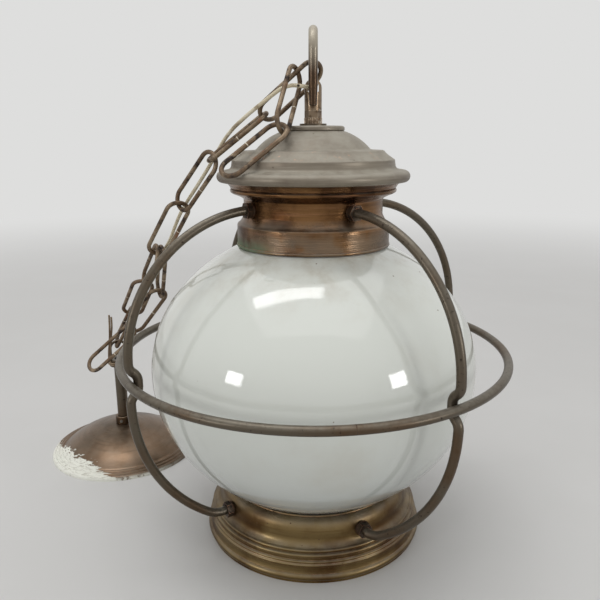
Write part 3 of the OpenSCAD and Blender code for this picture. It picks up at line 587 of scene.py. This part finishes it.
def rose_copper():
    axis = (ROSE_AXIS[0] * MM, ROSE_AXIS[1] * MM)
    f = Finish("antique_copper_rose", rgb("rose"), 0.26, 0.92)
    f.patches(rgb("rose_patch"), 20, 0.4, 0.7, 0.32)
    f.spun(rgb("rose_patch"), 0.6, 0.14, axis, 700, 0.9)
    f.worn(rgb("copper"), 0.0007, 0.5)
    f.dusty(rgb("dust"), 0.12)
    t = f.tree
    at = xyz(t, place(t))
    x = calc(t, "SUBTRACT", at["X"], axis[0])
    y = calc(t, "SUBTRACT", at["Y"], axis[1])
    far = calc(t, "SQRT", calc(t, "ADD", calc(t, "MULTIPLY", x, x), calc(t, "MULTIPLY", y, y)))
    # The plaster is thickest at the rim's front left, brushed inwards, and thin elsewhere
    side = calc(t, "ADD", calc(t, "MULTIPLY", x, -0.66), calc(t, "MULTIPLY", y, -0.75))
    turned = calc(t, "DIVIDE", side, far)
    wide = ease(t, turned, 0.62, 0.97, 0.001, 0.016)
    stroke = add(t, "ShaderNodeCombineXYZ", {
        0: calc(t, "MULTIPLY", x, 60.0), 1: calc(t, "MULTIPLY", y, 260.0),
        2: calc(t, "MULTIPLY", far, 500.0)}).outputs[0]
    rag = calc(t, "SUBTRACT", noise(t, stroke, 1.0, 7.0, 0.6), 0.5)
    inward = calc(t, "SUBTRACT", calc(t, "ADD", far, calc(t, "MULTIPLY", rag, 0.026)), 0.0705)
    lies = ease(t, calc(t, "ADD", inward, wide), -0.0002, 0.0008)
    smear = ease(t, noise(t, stroke, 2.2, 4.0, 0.6), 0.34, 0.5, 0.6, 1.0)
    kept = ease(t, turned, 0.5, 0.72)
    mask = calc(t, "MULTIPLY", calc(t, "MULTIPLY", lies, smear), kept)
    f.cover(mask, rgb("plaster"), 0.9, 0.0, 0.12)
    lip = ease(t, at["Z"], 0.0038, 0.0016)
    streaked = ease(t, noise(t, place(t), 160.0, 8.0, 0.7), 0.38, 0.5)
    near = ease(t, turned, -0.35, 0.3, 0.1, 0.9)
    thin = calc(t, "MULTIPLY", calc(t, "MULTIPLY", lip, streaked), near)
    f.cover(thin, rgb("plaster"), 0.9, 0.0, 0.2)
    return f.pitted(520, 0.08).done()


def plain_felt():
    f = Finish("felt", rgb("felt"), 0.95, 0.0)
    f.patches(rgb("cage_brown"), 300, 0.45, 0.6)
    return f.pitted(2600, 0.5).done(Sheen_Weight=0.3)


def plain_porcelain():
    f = Finish("porcelain", rgb("porcelain"), 0.2, 0.0)
    f.patches(rgb("grime"), 80, 0.5, 0.75, 0.4)
    return f.pitted(300, 0.05).done()


MAKERS = {
    "opal": opal_glass, "cap": cap_copper, "neck": neck_brass, "base": base_brass,
    "cage": cage_bronze, "hook": hook_bronze, "loop": loop_bronze, "nuts": nut_bronze,
    "brass": bright_brass, "chain": chain_rust, "weld": weld_steel, "zinc": zinc_steel, "cable": cable_plastic,
    "rose": rose_copper, "felt": plain_felt, "porcelain": plain_porcelain,
}
_made = {}


def finish_of(key):
    """The material of that name, made the first time it is asked for."""
    if key not in _made:
        _made[key] = MAKERS[key]()
    return _made[key]


def dress(key, *names):
    """Gives CAD nodes a finish."""
    for name in names:
        mesh = NODES[name].data
        mesh.materials.clear()
        mesh.materials.append(finish_of(key))


# ---------------------------------------------------------------- mesh helpers, in mm
def arc(cx, cz, r, a0, a1, steps=14):
    return [
        (cx + r * math.cos(math.radians(a0 + (a1 - a0) * i / steps)),
         cz + r * math.sin(math.radians(a0 + (a1 - a0) * i / steps)))
        for i in range(steps + 1)
    ]


def bend(p, q, s, steps=16):
    """A smooth curve from p to s that leaves and arrives towards q."""
    curve = []
    for i in range(steps + 1):
        t = i / steps
        a, b, c = (1 - t) ** 2, 2 * t * (1 - t), t * t
        curve.append((a * p[0] + b * q[0] + c * s[0], a * p[1] + b * q[1] + c * s[1]))
    return curve


def tidy(path):
    kept = [path[0]]
    for p in path[1:]:
        if math.dist(p, kept[-1]) > 0.02:
            kept.append(p)
    return kept


def walled(path, wall):
    """A closed outline: the path, and back along it, one wall thickness to its left."""
    path = tidy(path)
    inner = []
    for i, p in enumerate(path):
        a = Vector(path[max(i - 1, 0)])
        b = Vector(path[min(i + 1, len(path) - 1)])
        way = (b - a).normalized()
        inner.append((p[0] - way.y * wall, p[1] + way.x * wall))
    return path + inner[::-1]


def slab(r0, r1, z0, z1):
    return [(r0, z0), (r1, z0), (r1, z1), (r0, z1)]


def spin(name, outlines, key, body, replaced, axis=(0.0, 0.0), sharp=32):
    """A piece turned on an upright axis from closed outlines of radius and height."""
    turns = bpy.context.scene.lamp_sizes.turns
    bm = bmesh.new()
    for outline in outlines:
        rings = []
        for k in range(turns):
            a = 2 * math.pi * k / turns
            rings.append([
                bm.verts.new(((axis[0] + r * math.cos(a)) * MM,
                              (axis[1] + r * math.sin(a)) * MM, z * MM))
                for r, z in outline
            ])
        n = len(outline)
        for k in range(turns):
            near, far = rings[k], rings[(k + 1) % turns]
            for i in range(n):
                j = (i + 1) % n
                bm.faces.new((near[i], far[i], far[j], near[j]))
    bmesh.ops.recalc_face_normals(bm, faces=bm.faces)
    return put(name, bm, key, body, replaced, sharp)


def put(name, bm, key, body, replaced=(), sharp=32):
    """Makes a shaded object of a bmesh, rides it on its body and hides what it replaces."""
    mesh = bpy.data.meshes.new(name)
    bm.to_mesh(mesh)
    bm.free()
    mesh.polygons.foreach_set("use_smooth", [True] * len(mesh.polygons))
    mesh.set_sharp_from_angle(angle=math.radians(sharp))
    mesh.materials.append(finish_of(key))
    made = bpy.data.objects.new(name, mesh)
    bpy.context.scene.collection.objects.link(made)
    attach(made, body)
    if replaced:
        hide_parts(*replaced)
    return made


def sleeve(name, centre, direction, radius, width, proud, key, body):
    """A narrow band round a rod or wire, a little proud at its middle."""
    z = Vector(direction).normalized()
    x = z.orthogonal().normalized()
    y = z.cross(x)
    bm = bmesh.new()
    rings = []
    for u in (-1, -0.8, -0.4, 0, 0.4, 0.8, 1):
        r = radius + proud * (1 - u * u) - 0.03
        rings.append([
            bm.verts.new((Vector(centre) + z * u * width / 2
                          + (x * math.cos(a) + y * math.sin(a)) * r) * MM)
            for a in (2 * math.pi * k / 24 for k in range(24))
        ])
    for low, high in zip(rings, rings[1:]):
        for k in range(24):
            j = (k + 1) % 24
            bm.faces.new((low[k], low[j], high[j], high[k]))
    for ring in (rings[0], rings[-1]):
        bm.faces.new(ring)
    bmesh.ops.recalc_face_normals(bm, faces=bm.faces)
    return put(name, bm, key, body)


def strand(name, points, diameter, key, body):
    """A round wire through the points, as one smooth open curve."""
    data = bpy.data.curves.new(name, "CURVE")
    data.dimensions = "3D"
    data.bevel_depth = diameter / 2
    data.bevel_resolution = 5
    data.resolution_u = 8
    data.use_fill_caps = True
    data.materials.append(finish_of(key))
    spline = data.splines.new("BEZIER")
    spline.bezier_points.add(len(points) - 1)
    for i, p in enumerate(points):
        before = Vector(points[max(i - 1, 0)])
        after = Vector(points[min(i + 1, len(points) - 1)])
        knot = spline.bezier_points[i]
        step = (after - before) / 6
        knot.co = Vector(p) * MM
        knot.handle_left = (Vector(p) - step) * MM
        knot.handle_right = (Vector(p) + step) * MM
    made = bpy.data.objects.new(name, data)
    bpy.context.scene.collection.objects.link(made)
    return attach(made, body)


# ---------------------------------------------------------------- one operator a piece
class CAGED_LAMP_OT_set_camera(Operator):
    """Stand the camera where the photograph was taken"""

    bl_idname = "caged_lamp.set_camera"
    bl_label = "Camera"

    def execute(self, context):
        yaw, pitch, roll = -0.01909, 0.2518, -0.00458
        ahead = Vector((math.sin(yaw) * math.cos(pitch), math.cos(yaw) * math.cos(pitch),
                        -math.sin(pitch)))
        level = Vector((math.cos(yaw), -math.sin(yaw), 0))
        upright = level.cross(ahead)
        right = level * math.cos(roll) + upright * math.sin(roll)
        top = upright * math.cos(roll) - level * math.sin(roll)
        data = bpy.data.cameras.new("camera")
        data.lens, data.sensor_width = 37.58, 36.0
        data.shift_x, data.shift_y = -0.0025, 0.0002
        data.clip_start = 0.01
        camera = bpy.data.objects.new("camera", data)
        context.scene.collection.objects.link(camera)
        turned = Matrix((right, top, -ahead)).transposed().to_4x4()
        camera.matrix_world = Matrix.Translation((0, -0.4699, 0.30825)) @ turned
        context.scene.camera = camera
        return {"FINISHED"}


class CAGED_LAMP_OT_lay_cable(Operator):
    """Lay the cable from the nipple through the chain to the stem"""

    bl_idname = "caged_lamp.lay_cable"
    bl_label = "Cable"

    def execute(self, context):
        thick = context.scene.lamp_sizes.cable_diameter
        cable = strand("lamp_cable", CABLE_ROUTE, thick, "cable", "lamp")
        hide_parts("cable")
        dress("cable", "inner_lead")
        return {"FINISHED"}


class CAGED_LAMP_OT_blow_globe(Operator):
    """Make the smooth opal glass globe"""

    bl_idname = "caged_lamp.blow_globe"
    bl_label = "Globe"

    def execute(self, context):
        steps = context.scene.lamp_sizes.globe_steps
        widest, foot, neck = 125.0, 60.0, 46.0
        start, stop = -math.acos(foot / widest), math.acos(neck / widest)
        path = [(foot, GLOBE_FOOT)]
        for i in range(steps + 1):
            t = start + (stop - start) * i / steps
            tall = 110 if t < 0 else 105
            path.append((widest * math.cos(t), 137 + tall * math.sin(t)))
        path.append((neck, GLOBE_TOP))
        globe = spin("globe_glass", [walled(path, 3.0)], "opal", "lamp",
                     ["globe_lower", "globe_middle", "globe_upper"])
        dress("felt", "lower_felt", "upper_felt")
        return {"FINISHED"}


class CAGED_LAMP_OT_spin_base(Operator):
    """Spin the brass base ring with its mouldings"""

    bl_idname = "caged_lamp.spin_base"
    bl_label = "Base ring"

    def execute(self, context):
        r, wall, rim = 87.2, 76.0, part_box("base_ring")[1].z / MM - 1
        path = (
            [(r - 1.4, 0)] + arc(r - 2.8, 4.2, 2.8, -60, 55)
            + bend((r - 1.9, 6.9), (r - 2.9, 9.5), (r - 2.6, 11.6), 8)
            + arc(r - 3.5, 12.8, 1.2, -45, 60, 8) + arc(r - 4.1, 15.2, 1.1, -40, 70, 8)
            + bend((r - 4.3, 16.6), (r - 4.4, 17.6), (r - 4.2, 18.2), 5)
            + arc(r - 5.4, 19.4, 1.5, -40, 75, 8) + arc(r - 7.2, 22, 1.3, -40, 80, 8)
            + bend((r - 7.6, 23.4), (wall, 25.6), (wall, 30.5))
            + bend((wall, 31), (wall - 0.2, rim - 2), (wall - 7.4, rim - 0.8))
        )
        ring = spin(
            "base_ring_spun",
            [walled(path, SHEET), arc(wall - 8.1, rim - 1, 1, 0, 345, 23)],
            "base", "lamp", ["base_ring"],
        )
        dress("base", "base_shelf")
        return {"FINISHED"}


class CAGED_LAMP_OT_spin_neck(Operator):
    """Spin the brass neck that holds the globe and the rods"""

    bl_idname = "caged_lamp.spin_neck"
    bl_label = "Neck"

    def execute(self, context):
        t, r, lip = NECK_TOP, 51.5, 56.6
        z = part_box("neck_collar")[0].z / MM + 1.5
        path = (
            bend((lip + 0.2, z + 1.2), (lip + 0.1, z + 6), (lip, z + 13.6))
            + arc(lip - 2.1, z + 14.2, 2.1, -10, 62, 8)
            + bend((lip - 1.6, z + 16.4), (r + 1.4, z + 18.4), (r, z + 22.6))
            + bend((r, t - 15.4), (r + 0.4, t - 13.7), (r + 8, t - 11))
            + arc(r + 8.2, t - 9, 1.6, -60, 80)
            + bend((r + 9.4, t - 7), (r + 11.0, t - 3.6), (66.6, t - 1.3))
        )
        neck = spin(
            "neck_spun",
            [walled(path, SHEET), arc(lip - 0.5, z, 1.2, 0, 345, 23),
             slab(42, r + 1.6, z + 11.6, z + 12.8), slab(46, r + 8, t - 10.5, t - 9.1),
             slab(62, 67, t - 1.4, t)],
            "neck", "lamp", ["neck_collar", "neck_flange"],
        )
        return {"FINISHED"}


class CAGED_LAMP_OT_spin_cap(Operator):
    """Spin the stepped cap, with the disc and washer on it"""

    bl_idname = "caged_lamp.spin_cap"
    bl_label = "Cap"

    def execute(self, context):
        t, r, c, plate = NECK_TOP, 70.7, 51.3, 22.8
        tall = CAP_TOP - NECK_TOP
        path = (
            arc(r - 4.1, t + 0.9, 4.1, -58, 70)
            + bend((r - 3.4, t + 5), (c + 11.6, t + 5.2), (c + 9.4, t + 6.8))
            + [(c + 8.7, t + 8), (c + 8.2, t + 11.4)] + arc(c + 6.6, t + 11.6, 1.6, 5, 70)
            + bend((c + 6, t + 13.9), (c + 2, t + 16.4), (c + 0.4, t + 18.6))
            + [(c - 0.6, t + 19.1), (c - 8.6, t + 19.5)]
            + bend((c - 9.8, t + 20), (c - 17, t + tall - 4.4), (plate + 1, t + tall - 0.5), 24)
            + [(plate - 1, t + tall), (4.2, t + tall)]
        )
        cap = spin("cap_spun", [walled(path, SHEET)], "cap", "lamp", ["cap"])
        disc = spin(
            "cap_disc_turned",
            [[(4.2, CAP_TOP), (plate - 0.6, CAP_TOP), (plate, CAP_TOP + 0.6)]
             + arc(plate - 1.8, PLATE_TOP - 1.8, 1.8, 0, 90) + [(4.2, PLATE_TOP)]],
            "cap", "lamp", ["cap_disc"],
        )
        dress("cage", "disc_washer")
        return {"FINISHED"}


class CAGED_LAMP_OT_dress_hook(Operator):
    """Finish the nut, the loop and the swivelling hook"""

    bl_idname = "caged_lamp.dress_hook"
    bl_label = "Hook and loop"

    def execute(self, context):
        dress("hook", "swivel_hook")
        dress("loop", "hook_loop", "nipple", "check_ring", "hex_nut")
        return {"FINISHED"}


class CAGED_LAMP_OT_dress_cage(Operator):
    """Finish the ring, the rods and their nuts, and mark the ring's two joints"""

    bl_idname = "caged_lamp.dress_cage"
    bl_label = "Cage"

    def execute(self, context):
        dress("cage", "cage_ring", "right_front_rod", "left_front_rod", "right_back_rod",
              "left_back_rod")
        dress("nuts", "neck_washers", "neck_nuts", "neck_inner_nuts", "base_washers",
              "base_nuts", "base_inner_nuts")
        for number, turn in enumerate((9.5, -56.25), 1):
            a = math.radians(turn)
            sleeve(f"ring_joint_{number}", (147.1 * math.sin(a), -147.1 * math.cos(a), 149),
                   (math.cos(a), math.sin(a), 0), 3.2, 0.8, 0.08, "nuts", "lamp")
        return {"FINISHED"}


class CAGED_LAMP_OT_dress_chain(Operator):
    """Finish the links and put the weld on each"""

    bl_idname = "caged_lamp.dress_chain"
    bl_label = "Chain"

    def execute(self, context):
        width = context.scene.lamp_sizes.weld_width / MM
        for name, (centre, way) in WELDS.items():
            dress("chain", name)
            weld = sleeve(f"{name}_weld", centre, way, 1.7, width, 0.12, "weld", name)
        return {"FINISHED"}


class CAGED_LAMP_OT_spin_rose(Operator):
    """Spin the ceiling rose, and finish its stem, loop, strap and wire"""

    bl_idname = "caged_lamp.spin_rose"
    bl_label = "Ceiling rose"

    def execute(self, context):
        r, collar = 70.9, 7.8
        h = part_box("rose")[1].z / MM
        path = [(r, 0), (r, 1.4), (r - 0.4, 2.2)]
        for k in range(3):
            path += arc(r - 2.4 - 3.2 * k, 2.2 + 1.15 * k, 1.6, 40, 130)
        path += (
            bend((r - 10.6, 6), (r - 28, h - 5), (collar + 13, h - 1.6), 28)
            + bend((collar + 12, h - 1.3), (collar + 6, h), (collar + 2, h)) + [(5.7, h)]
        )
        rose = spin("rose_spun", [walled(path, SHEET)], "rose", "canopy", ["rose"], ROSE_AXIS)
        dress("rose", "rose_collar")
        dress("cage", "stem_tube", "stem_loop")
        dress("zinc", "stem_nut", "ceiling_strap", "grub_screw")
        dress("chain", "tie_wire")
        for number, points in enumerate(WIRE_ENDS, 1):
            end = strand(f"tie_wire_end_{number}", points,
                         context.scene.lamp_sizes.wire_diameter, "chain", "lamp")
        return {"FINISHED"}


class CAGED_LAMP_OT_dress_holder(Operator):
    """Finish the lampholder and the bridge inside the neck"""

    bl_idname = "caged_lamp.dress_holder"
    bl_label = "Lampholder"

    def execute(self, context):
        dress("brass", "holder_cap", "holder_body", "lamp_insert", "centre_contact",
              "shade_ring", "terminal_screws")
        dress("porcelain", "holder_core")
        dress("zinc", "bridge_bar", "bridge_washer", "bridge_nut")
        return {"FINISHED"}


def area_light(name, centre, turn, rise, distance, wide, tall, level, across=None):
    """A soft light at a compass turn and rise from a point, that the camera doesn't see."""
    a, e = math.radians(turn), math.radians(rise)
    out = Vector((math.sin(a) * math.cos(e), -math.cos(a) * math.cos(e), math.sin(e)))
    data = bpy.data.lights.new(name, "AREA")
    data.shape = "RECTANGLE"
    data.size, data.size_y = wide, tall
    data.energy = level * math.pi * wide * tall
    lamp = bpy.data.objects.new(name, data)
    bpy.context.scene.collection.objects.link(lamp)
    side = Vector(across or (math.cos(a), math.sin(a), 0))
    side = (side - out * side.dot(out)).normalized()
    turned = Matrix((side, out.cross(side), out)).transposed().to_4x4()
    lamp.matrix_world = Matrix.Translation(Vector(centre) + out * distance) @ turned
    lamp.visible_camera = False


class CAGED_LAMP_OT_set_stage(Operator):
    """Lay the pale floor, and set the even light, the overhead light and the windows"""

    bl_idname = "caged_lamp.set_stage"
    bl_label = "Stage"

    def execute(self, context):
        sizes = context.scene.lamp_sizes
        context.scene.view_settings.view_transform = "Standard"
        bm = bmesh.new()
        bmesh.ops.create_circle(bm, cap_ends=True, cap_tris=False, segments=96, radius=3.0)
        mesh = bpy.data.meshes.new("floor")
        bm.to_mesh(mesh)
        bm.free()
        floor = bpy.data.objects.new("floor", mesh)
        context.scene.collection.objects.link(floor)
        mesh.materials.append(self.floor_material())
        self.light_world(context, sizes.sky_level)
        centre = (0.0, -0.11, 0.165)
        area_light("left_window", centre, -54.2, 10.6, 2.0, 0.42, 0.34, sizes.window_level)
        area_light("right_window", centre, 58.7, 8.6, 2.0, 0.42, 0.38, sizes.window_level)
        area_light("overhead", (0, 0, 0.2), 0, 89, 2.3, 3.2, 3.2, sizes.overhead_level)
        area_light("strip", (0, -0.085, 0.214), -92, 77, 1.6, 1.1, 0.28, sizes.strip_level,
                   across=(1, 0, 0))
        return {"FINISHED"}

    def floor_material(self):
        made = bpy.data.materials.new("pale_floor")
        made.use_nodes = True
        t = made.node_tree
        t.nodes.clear()
        near = add(t, "ShaderNodeBsdfPrincipled", {
            "Base Color": mix_colour(
                t, ease(t, noise(t, place(t), 7.0), 0.4, 0.7, 0.0, 0.1),
                rgb("floor"), rgb("backdrop")),
            "Roughness": 0.6,
        }).outputs[0]
        far = add(t, "ShaderNodeEmission", {"Color": rgb("backdrop"), "Strength": 1.0}).outputs[0]
        reach = add(t, "ShaderNodeVectorMath", {0: place(t)}, operation="LENGTH").outputs["Value"]
        fade = calc(t, "MULTIPLY", ease(t, reach, 0.7, 2.4),
                    add(t, "ShaderNodeLightPath").outputs["Is Camera Ray"])
        both = add(t, "ShaderNodeMixShader", {0: fade, 1: near, 2: far}).outputs[0]
        out = t.nodes.new("ShaderNodeOutputMaterial")
        t.links.new(both, out.inputs["Surface"])
        return made

    def light_world(self, context, level):
        world = bpy.data.worlds.new("studio")
        world.use_nodes = True
        context.scene.world = world
        t = world.node_tree
        t.nodes.clear()
        ways = add(t, "ShaderNodeLightPath").outputs
        seen = calc(t, "MAXIMUM", ways["Is Camera Ray"],
                    calc(t, "MAXIMUM", ways["Is Glossy Ray"], ways["Is Transmission Ray"]))
        even = add(t, "ShaderNodeBackground", {"Color": (1.0, 1.0, 1.0), "Strength": level})
        shown = add(t, "ShaderNodeBackground", {"Color": rgb("backdrop"), "Strength": 1.0})
        both = add(t, "ShaderNodeMixShader", {0: seen, 1: even.outputs[0], 2: shown.outputs[0]})
        out = t.nodes.new("ShaderNodeOutputWorld")
        t.links.new(both.outputs[0], out.inputs["Surface"])


STEPS = (
    CAGED_LAMP_OT_set_camera, CAGED_LAMP_OT_lay_cable, CAGED_LAMP_OT_blow_globe,
    CAGED_LAMP_OT_spin_base, CAGED_LAMP_OT_spin_neck, CAGED_LAMP_OT_spin_cap,
    CAGED_LAMP_OT_dress_hook, CAGED_LAMP_OT_dress_cage, CAGED_LAMP_OT_dress_chain,
    CAGED_LAMP_OT_spin_rose, CAGED_LAMP_OT_dress_holder, CAGED_LAMP_OT_set_stage,
)


class CAGED_LAMP_PT_pieces(Panel):
    """The lamp's pieces, sizes and colours"""

    bl_idname = "CAGED_LAMP_PT_pieces"
    bl_label = "Caged globe lamp"
    bl_space_type = "VIEW_3D"
    bl_region_type = "UI"
    bl_category = "Lamp"

    def draw(self, context):
        column = self.layout.column(align=True)
        for step in STEPS:
            column.operator(step.bl_idname)
        for group in (context.scene.lamp_sizes, context.scene.lamp_colours):
            box = self.layout.box()
            for key in group.__annotations__:
                box.prop(group, key)


CLASSES = (LampSizes, LampColours, *STEPS, CAGED_LAMP_PT_pieces)


def register():
    for kind in CLASSES:
        bpy.utils.register_class(kind)
    bpy.types.Scene.lamp_sizes = PointerProperty(type=LampSizes)
    bpy.types.Scene.lamp_colours = PointerProperty(type=LampColours)


def unregister():
    del bpy.types.Scene.lamp_colours
    del bpy.types.Scene.lamp_sizes
    for kind in reversed(CLASSES):
        bpy.utils.unregister_class(kind)


def main():
    register()
    for step in STEPS:
        group, name = step.bl_idname.split(".")
        getattr(getattr(bpy.ops, group), name)()


if __name__ == "__main__":
    main()
